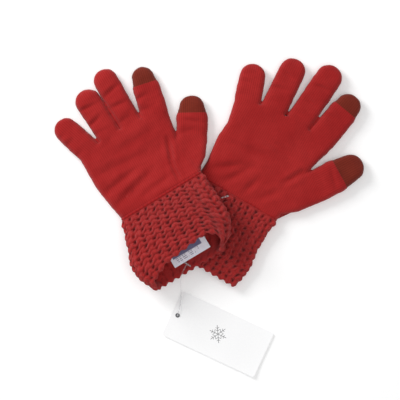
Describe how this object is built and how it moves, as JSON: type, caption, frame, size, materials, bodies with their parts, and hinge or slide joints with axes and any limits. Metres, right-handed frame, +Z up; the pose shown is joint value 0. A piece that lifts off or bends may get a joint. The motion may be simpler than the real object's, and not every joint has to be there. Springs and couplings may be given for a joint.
{
  "type": "touchscreen gloves",
  "caption": "Knitted touchscreen gloves laid flat, one cuff over the other, with conductive index and thumb tips, chunky rib cuffs, a care label and a swing tag.",
  "frame": {"origin": "under the middle of the pair as it is laid down, on the surface that it lies on", "axes": "+X runs from the right glove's side to the left glove's thumb, +Y towards the fingers, +Z up from the surface"},
  "size_m": [0.3245, 0.3337, 0.0386],
  "materials": {
    "fine_knit": "fine jersey knit in red acrylic yarn",
    "chunky_knit": "chunky knit in fuzzy red acrylic yarn",
    "conductive_knit": "fine jersey knit in dark conductive yarn",
    "seam_yarn": "linked yarn",
    "label_satin": "white satin ribbon, part printed dark",
    "label_thread": "fine sewing thread",
    "tag_card": "smooth coated white card",
    "eyelet_ring": "dark painted ring",
    "clear_plastic": "clear moulded plastic"
  },
  "bodies": {
    "left_cuff": {"left_cuff": "chunky_knit", "left_wrist_seam": "seam_yarn", "pair_tie": "clear_plastic"},
    "left_hand": {"left_hand": "fine_knit"},
    "right_cuff": {"right_cuff": "chunky_knit", "right_wrist_seam": "seam_yarn", "care_label": "label_satin", "label_stitches": "label_thread", "filament_anchor": "clear_plastic", "tag_filament": "clear_plastic", "tag_button": "clear_plastic"},
    "right_hand": {"right_hand": "fine_knit"},
    "swing_tag": {"swing_tag": "tag_card", "tag_eyelet": "eyelet_ring"},
    "left_little_finger": {"left_little_finger": "fine_knit"},
    "left_ring_finger": {"left_ring_finger": "fine_knit"},
    "left_middle_finger": {"left_middle_finger": "fine_knit"},
    "left_index_finger": {"left_index_finger": "fine_knit", "left_index_finger_tip": "conductive_knit"},
    "left_thumb": {"left_thumb": "fine_knit", "left_thumb_tip": "conductive_knit"},
    "right_little_finger": {"right_little_finger": "fine_knit"},
    "right_ring_finger": {"right_ring_finger": "fine_knit"},
    "right_middle_finger": {"right_middle_finger": "fine_knit"},
    "right_index_finger": {"right_index_finger": "fine_knit", "right_index_finger_tip": "conductive_knit"},
    "right_thumb": {"right_thumb": "fine_knit", "right_thumb_tip": "conductive_knit"}
  },
  "joints": [
    {"name": "right_glove_lift", "type": "slide", "parent": "left_cuff", "child": "right_cuff", "axis": [0, 0, 1], "range_m": [0, 0.08]},
    {"name": "left_wrist_fold", "type": "hinge", "parent": "left_cuff", "child": "left_hand", "pos_m": [0.03112, -0.02463, 0.011], "axis": [0.866, -0.5, 0], "range_deg": [0, 12]},
    {"name": "right_wrist_fold", "type": "hinge", "parent": "right_cuff", "child": "right_hand", "pos_m": [-0.05123, -0.02381, 0.01873], "axis": [0.8466, 0.5087, 0.1564], "range_deg": [0, 75]},
    {"name": "left_little_finger_fold", "type": "hinge", "parent": "left_hand", "child": "left_little_finger", "pos_m": [0.03952, 0.07282, 0.012], "axis": [0.9792, -0.2028, 0], "range_deg": [0, 75]},
    {"name": "left_ring_finger_fold", "type": "hinge", "parent": "left_hand", "child": "left_ring_finger", "pos_m": [0.06676, 0.06472, 0.012], "axis": [0.8988, -0.4384, 0], "range_deg": [0, 75]},
    {"name": "left_middle_finger_fold", "type": "hinge", "parent": "left_hand", "child": "left_middle_finger", "pos_m": [0.09245, 0.05139, 0.012], "axis": [0.8231, -0.5678, 0], "range_deg": [0, 75]},
    {"name": "left_index_finger_fold", "type": "hinge", "parent": "left_hand", "child": "left_index_finger", "pos_m": [0.11599, 0.03352, 0.012], "axis": [0.7705, -0.6374, 0], "range_deg": [0, 75]},
    {"name": "left_thumb_fold", "type": "hinge", "parent": "left_hand", "child": "left_thumb", "pos_m": [0.11374, -0.01428, 0.012], "axis": [0.4772, -0.8788, 0], "range_deg": [0, 70]},
    {"name": "right_little_finger_fold", "type": "hinge", "parent": "right_hand", "child": "right_little_finger", "pos_m": [-0.12428, 0.02048, 0.012], "axis": [0.6769, 0.7361, 0], "range_deg": [0, 75]},
    {"name": "right_ring_finger_fold", "type": "hinge", "parent": "right_hand", "child": "right_ring_finger", "pos_m": [-0.1039, 0.03752, 0.012], "axis": [0.8406, 0.5417, 0], "range_deg": [0, 75]},
    {"name": "right_middle_finger_fold", "type": "hinge", "parent": "right_hand", "child": "right_middle_finger", "pos_m": [-0.08165, 0.05019, 0.012], "axis": [0.8607, 0.509, 0], "range_deg": [0, 75]},
    {"name": "right_index_finger_fold", "type": "hinge", "parent": "right_hand", "child": "right_index_finger", "pos_m": [-0.0566, 0.05905, 0.012], "axis": [0.95, 0.3123, 0], "range_deg": [0, 75]},
    {"name": "right_thumb_fold", "type": "hinge", "parent": "right_hand", "child": "right_thumb", "pos_m": [-0.01792, 0.03923, 0.012], "axis": [0.9998, 0.0175, 0], "range_deg": [0, 70]},
    {"name": "tag_swing", "type": "hinge", "parent": "right_cuff", "child": "swing_tag", "pos_m": [-0.0334, -0.1503, 0.0011], "axis": [0, 0, 1], "range_deg": [-90, 25]}
  ]
}
